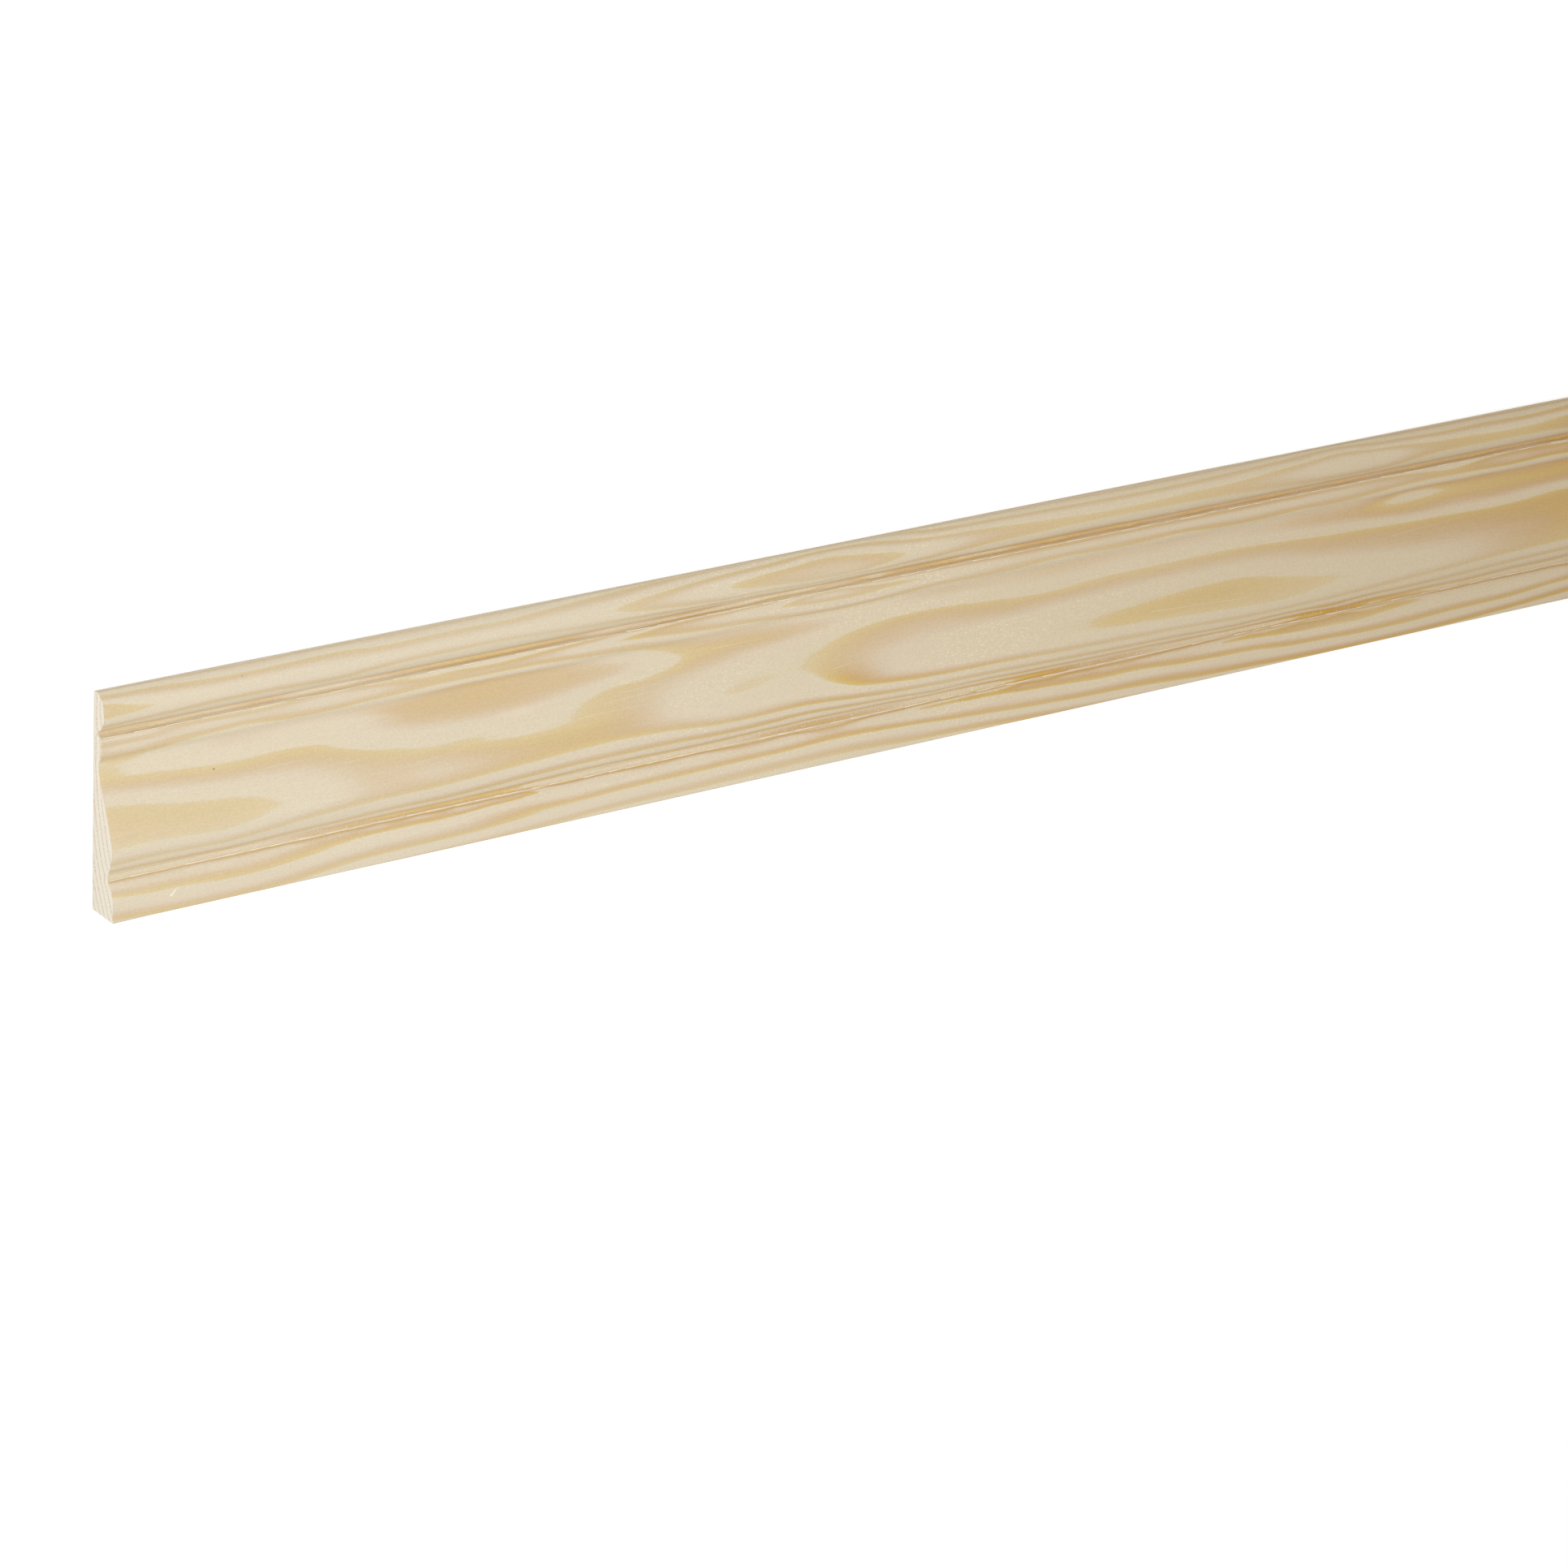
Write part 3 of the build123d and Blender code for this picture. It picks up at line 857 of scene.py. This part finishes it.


def planedPine():
    made = newMaterial("planed_pine")
    start = Wire(made.node_tree)
    wood = WoodPlace(start)
    stray = (wood.noise(40, 0.9, 3) - 0.5) * planed["wander"]
    slow = (wood.noise(130, 7, 1, seed=3.0) - 0.5) * planed["slowWander"]
    share = (wood.ring() + stray + slow).maths("FRACT")
    late = start.node("ShaderNodeValToRGB", {"stops": ringColours}, {0: share}, "Color")
    lateness = start.node("ShaderNodeAttribute", {"attribute_name": "lateness"}, {}, "Fac")
    colour = start.colour(earlyPaint).mixed(late, lateness)
    # painted shade: the colour darkens and yellows away from the near end, in place of the light's fall-off
    colour = colour.mixed(start.colour(farShadeTone), wood.along.rising(*planed["farShadeStretch"]), "MULTIPLY")
    # painted shade on the lower quirk's floor
    floor = wood.across.between(*planed["quirkFloor"])
    colour = colour.mixed(start.colour(quirkShadeTone), floor, "MULTIPLY")
    # painted shade: a thin dark line along a corner of each quirk
    across = wood.across + (wood.noise(45, 20, 1, seed=11.0) - 0.5) * planed["shadeLineWander"]
    lowerShade = across.between(*planed["lowerShadeLine"]) * planed["lowerShadeLineShare"]
    upperShade = across.between(*planed["upperShadeLine"]) * planed["upperShadeLineShare"]
    colour = colour.mixed(start.colour(cornerShadeTone), lowerShade + upperShade, "MULTIPLY")
    # fine fibres, specks of cut cells, and painted glints on the torn early wood
    fibre = wood.noise(14, 0.28, 2, seed=1.0)
    speck = wood.noise(0.9, 0.5, 1, seed=5.0)
    patches = wood.noise(60, 12, 1, seed=7.0).rising(0.42, 0.6)
    # painted glints: bright specks in the early wood
    paintedGlint = wood.noise(1.0, 0.6, 1, seed=9.0).rising(0.56, 0.72) * (1 - share.rising(0.4, 0.6)) * patches
    torn = 0.25 + 0.75 * wood.along.between(*planed["tornStretch"])
    aside = (wood.along - planed["bloomPlace"][0]) / planed["bloomSize"][0]
    above = (wood.across - planed["bloomPlace"][1]) / planed["bloomSize"][1]
    bloom = (1 - aside ** 2 - above ** 2).rising(0, 1)
    bright = 1 + (fibre - 0.5) * planed["fibreContrast"] + (speck - 0.5) * planed["speckContrast"]
    bright = bright + paintedGlint * torn * planed["paintedGlint"] + bloom * planed["bloom"]
    colour = start.node("ShaderNodeVectorMath", {"operation": "SCALE"}, {0: colour, "Scale": bright})
    height = fibre * 0.6 + speck * 0.4
    inputs = {"Strength": planed["fibreBump"], "Distance": planed["bumpDepth"], "Height": height}
    bump = start.node("ShaderNodeBump", {}, inputs)
    finishMaterial(start, colour, planed["roughness"], bump, planed["specular"])
    return made


sawn = {
    "roughness": 0.8,
    "specular": 0.2,
    "stray": 0.22,  # rings
    "blotShare": 0.85,  # how much the cream of torn fibres covers the rings
    "contrast": 0.09,
    "bump": 0.4,
    "bumpDepth": 0.0001,  # metres
}
endPaint = paint(243, 235, 218)
endColours = (
    (0.00, paint(240, 230, 211)),
    (0.08, endPaint),
    (0.60, paint(242, 233, 216)),
    (0.76, paint(236, 220, 202)),
    (0.86, paint(219, 199, 172)),
    (0.95, paint(214, 194, 166)),
    (1.00, paint(236, 224, 203)),
)


def sawnEnd():
    made = newMaterial("sawn_end_grain")
    start = Wire(made.node_tree)
    wood = WoodPlace(start)
    stray = (wood.noise(3, 1.1, 2) - 0.5) * sawn["stray"]
    share = (wood.ring() + stray).maths("FRACT")
    colour = start.node("ShaderNodeValToRGB", {"stops": endColours}, {0: share}, "Color")
    blot = wood.noise(2, 0.6, 2, seed=4.0)
    colour = colour.mixed(start.colour(endPaint), blot.rising(0.44, 0.62) * sawn["blotShare"])
    bright = 1 + (wood.noise(1, 0.35, 2, seed=2.0) - 0.5) * sawn["contrast"]
    colour = start.node("ShaderNodeVectorMath", {"operation": "SCALE"}, {0: colour, "Scale": bright})
    inputs = {"Strength": sawn["bump"], "Distance": sawn["bumpDepth"], "Height": blot}
    bump = start.node("ShaderNodeBump", {}, inputs)
    finishMaterial(start, colour, sawn["roughness"], bump, sawn["specular"])
    return made


moulding.data.materials.append(planedPine())
moulding.data.materials.append(sawnEnd())
for face in moulding.data.polygons:
    face.material_index = 1 if abs(face.normal.x) > 0.9 else 0
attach(moulding, "root")
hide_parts(node)
print("materials made")


# Fuzz that the cutters left, and small marks. Places are (along, across, height over the face).
fibres = {
    "seed": 4,
    "paint": (250, 240, 219),
    "roughness": 0.6,
    "burrs": ((12.47, 0.14, 0.32), (55.5, 0.7, 0.3)),  # across, height, thickness
    "burrLength": 11.0,
    "farBurrLength": 34.0,
    "nearStretch": 600,  # the burrs are longer past this
    "firstBurr": 0.3,
    "endGap": 40,
    "whiskers": ((176, 312, 90), (335, 470, 55), (15, 165, 26), (600, 2050, 70)),  # from, to, how many
    "whiskerThickness": 0.16,
    "whiskerFoot": (12.5, 14.3),
    "whiskerReach": (0.35, 0.9),
    "whiskerLean": 0.4,
    "whiskerHeights": (0.02, 0.12),  # over the face at the foot and at the tip
    "speckPaint": (150, 118, 84),
    "specular": 0.3,
}
# Strokes and marks placed one by one.
tears = (
    # from, to, thickness
    ((18.9, 4.9, -0.155), (20.4, 6.2, -0.05), 0.6),
    ((20.2, 6.1, -0.1), (21.8, 7.6, 0.06), 0.4),
    ((19.4, 4.8, -0.14), (20.8, 6.4, -0.03), 0.5),
    ((0.4, 26.9, 0), (10, 27.1, 0), 0.08),
    ((53, 36.4, 0), (70, 36.5, 0), 0.08),
    ((80, 33.4, 0), (88, 33.4, 0), 0.08),
    ((88, 28.6, 0), (104, 29.4, 0), 0.09),
    ((104, 29.4, 0), (121, 30.3, 0), 0.09),
    ((92, 28.2, 0), (119, 29.6, 0), 0.07),
    ((163, 32, 0), (184, 32, 0), 0.08),
    ((174, 34.6, 0), (189, 35.1, 0), 0.08),
    ((178, 36.4, 0), (192, 37, 0), 0.08),
    ((183, 38.4, 0), (197, 39.1, 0), 0.08),
    ((214, 43.5, 0), (233, 43.6, 0), 0.08),
    ((256, 30.6, 0), (264, 31.4, 0), 0.09),
    ((382, 27.6, 0), (411, 26.2, 0), 0.09),
    ((411, 26.2, 0), (441, 24.6, 0), 0.08),
    ((486, 34.9, 0), (517, 36.2, 0), 0.08),
)
specks = (
    ((36.7, 39.0, 0), (37.4, 39.1, 0), 0.5),
    ((45.8, 66.6, 0), (46.2, 66.6, 0), 0.35),
    ((0.3, 0.16, -0.2), (11, 0.16, -0.17), 0.26),
)


def overFace(place):
    along, across, height = place
    up = faceHeight(across) + height
    return low + Vector((along, across, up)) * mm


def flatUp(run):
    # turns a sliver's axis to run, with one of its flat sides upward
    return (run.to_track_quat("Z", "Y") @ Quaternion((0, 0, 1), math.pi)).to_euler()


def makeSlivers(name, slivers, colour):
    # each is a closed three-sided sliver, and all are one mesh
    for index, (start, end, thickness) in enumerate(slivers):
        first, last = overFace(start), overFace(end)
        run = last - first
        bpy.ops.mesh.primitive_cone_add(
            vertices=3,
            radius1=thickness * mm / 2,
            radius2=thickness * mm / 6,
            depth=run.length,
            location=(first + last) / 2,
            rotation=flatUp(run),
        )
        if index == 0:
            piece = bpy.context.object
            piece.name = piece.data.name = name
            bpy.ops.object.transform_apply(location=True, rotation=True, scale=True)
            bpy.ops.object.mode_set(mode="EDIT")
    bpy.ops.object.mode_set(mode="OBJECT")
    made = newMaterial(name)
    finishMaterial(Wire(made.node_tree), paint(*colour), fibres["roughness"], None, fibres["specular"])
    piece.data.materials.append(made)
    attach(piece, "root")


def burrSlivers(values, chance):
    made = []
    for across, height, thickness in values["burrs"]:
        along = values["firstBurr"]
        while along < mouldingLength - values["endGap"]:
            near = along < values["nearStretch"]
            length = values["burrLength"] if near else values["farBurrLength"]
            length *= chance.uniform(0.6, 1.4)
            shift = chance.uniform(-0.05, 0.05)
            start = (along, across + shift, height)
            end = (along + length, across - shift, height + chance.uniform(-0.04, 0.04))
            made.append((start, end, thickness * chance.uniform(0.7, 1.2)))
            along += length * chance.uniform(0.8, 1.05)
    return made


def whiskerSlivers(values, chance):
    made = []
    for first, last, count in values["whiskers"]:
        for _ in range(count):
            along = chance.uniform(first, last)
            foot = chance.uniform(*values["whiskerFoot"])
            reach = chance.uniform(*values["whiskerReach"])
            lean = chance.uniform(-values["whiskerLean"], values["whiskerLean"])
            start = (along, foot, values["whiskerHeights"][0])
            end = (along + lean, foot + reach, values["whiskerHeights"][1])
            made.append((start, end, values["whiskerThickness"] * chance.uniform(0.7, 1.3)))
    return made


bpy.ops.object.select_all(action="DESELECT")
chance = random.Random(fibres["seed"])
fuzz = burrSlivers(fibres, chance) + whiskerSlivers(fibres, chance) + list(tears)
makeSlivers("planing_fibres", fuzz, fibres["paint"])
bpy.ops.object.select_all(action="DESELECT")
makeSlivers("dark_specks", specks, fibres["speckPaint"])
print("fibres made:", len(fuzz))


# floor, light and air
studio = {
    "floorSize": 60.0,
    "floorDrop": 0.0002,
    "floorPaint": (0.86, 0.86, 0.86, 1),
    "floorGlow": (0.45, 0.45, 0.45, 1),
    "airColour": (1.0, 1.0, 1.0, 1),
    "airStrength": 0.48,
}
lamps = (
    # name, place, aim, size across the grain, size along it, watts, colour
    ("near_lamp", (-1.0, 0.1, 0.6), (-1.0, 0.0, 0.0), 1.0, 0.5, 2.5, (1.0, 1.0, 1.0)),
    ("end_lamp", (-1.95, 0.1, 0.08), (-1.05, 0.0, 0.0), 0.8, 0.13, 3.9, (1.0, 1.0, 1.0)),
    ("far_lamp", (0.85, 0.1, 0.9), (0.8, 0.0, 0.0), 1.0, 1.4, 3.1, (1.0, 1.0, 1.0)),
)


def makeFloor():
    bpy.ops.object.select_all(action="DESELECT")
    bpy.ops.mesh.primitive_plane_add(size=studio["floorSize"], location=(0, 0, -studio["floorDrop"]))
    floor = bpy.context.object
    floor.name = "studio_floor"
    made = newMaterial("studio_white")
    start = Wire(made.node_tree)
    seen = start.node("ShaderNodeLightPath", {}, {}, "Is Camera Ray")
    glow = start.colour((0, 0, 0, 1)).mixed(studio["floorGlow"], seen)
    inputs = {"Base Color": studio["floorPaint"], "Roughness": 1.0, "Specular IOR Level": 0.0,
              "Emission Color": glow, "Emission Strength": 1.0}
    shader = start.node("ShaderNodeBsdfPrincipled", {}, inputs)
    start.node("ShaderNodeOutputMaterial", {}, {"Surface": shader})
    floor.data.materials.append(made)


def makeAir():
    world = bpy.data.worlds.new("studio_air")
    bpy.context.scene.world = world
    world.use_nodes = True
    world.node_tree.nodes.clear()
    start = Wire(world.node_tree)
    inputs = {"Color": studio["airColour"], "Strength": studio["airStrength"]}
    air = start.node("ShaderNodeBackground", {}, inputs)
    white = start.node("ShaderNodeBackground", {}, {"Color": (1, 1, 1, 1), "Strength": 1.0})
    seen = start.node("ShaderNodeLightPath", {}, {}, "Is Camera Ray")
    shown = start.node("ShaderNodeMixShader", {}, {0: seen, 1: air, 2: white})
    start.node("ShaderNodeOutputWorld", {}, {"Surface": shown})


def makeLamp(name, place, aim, across, along, watts, colour):
    made = bpy.data.lights.new(name, "AREA")
    made.shape = "RECTANGLE"
    made.size = along
    made.size_y = across
    made.energy = watts
    made.color = colour
    lamp = bpy.data.objects.new(name, made)
    bpy.context.scene.collection.objects.link(lamp)
    lamp.location = place
    lamp.rotation_euler = (Vector(aim) - Vector(place)).to_track_quat("-Z", "Y").to_euler()


makeFloor()
makeAir()
for lamp in lamps:
    makeLamp(*lamp)
view = bpy.context.scene.view_settings
view.view_transform = "Standard"
print("studio made")
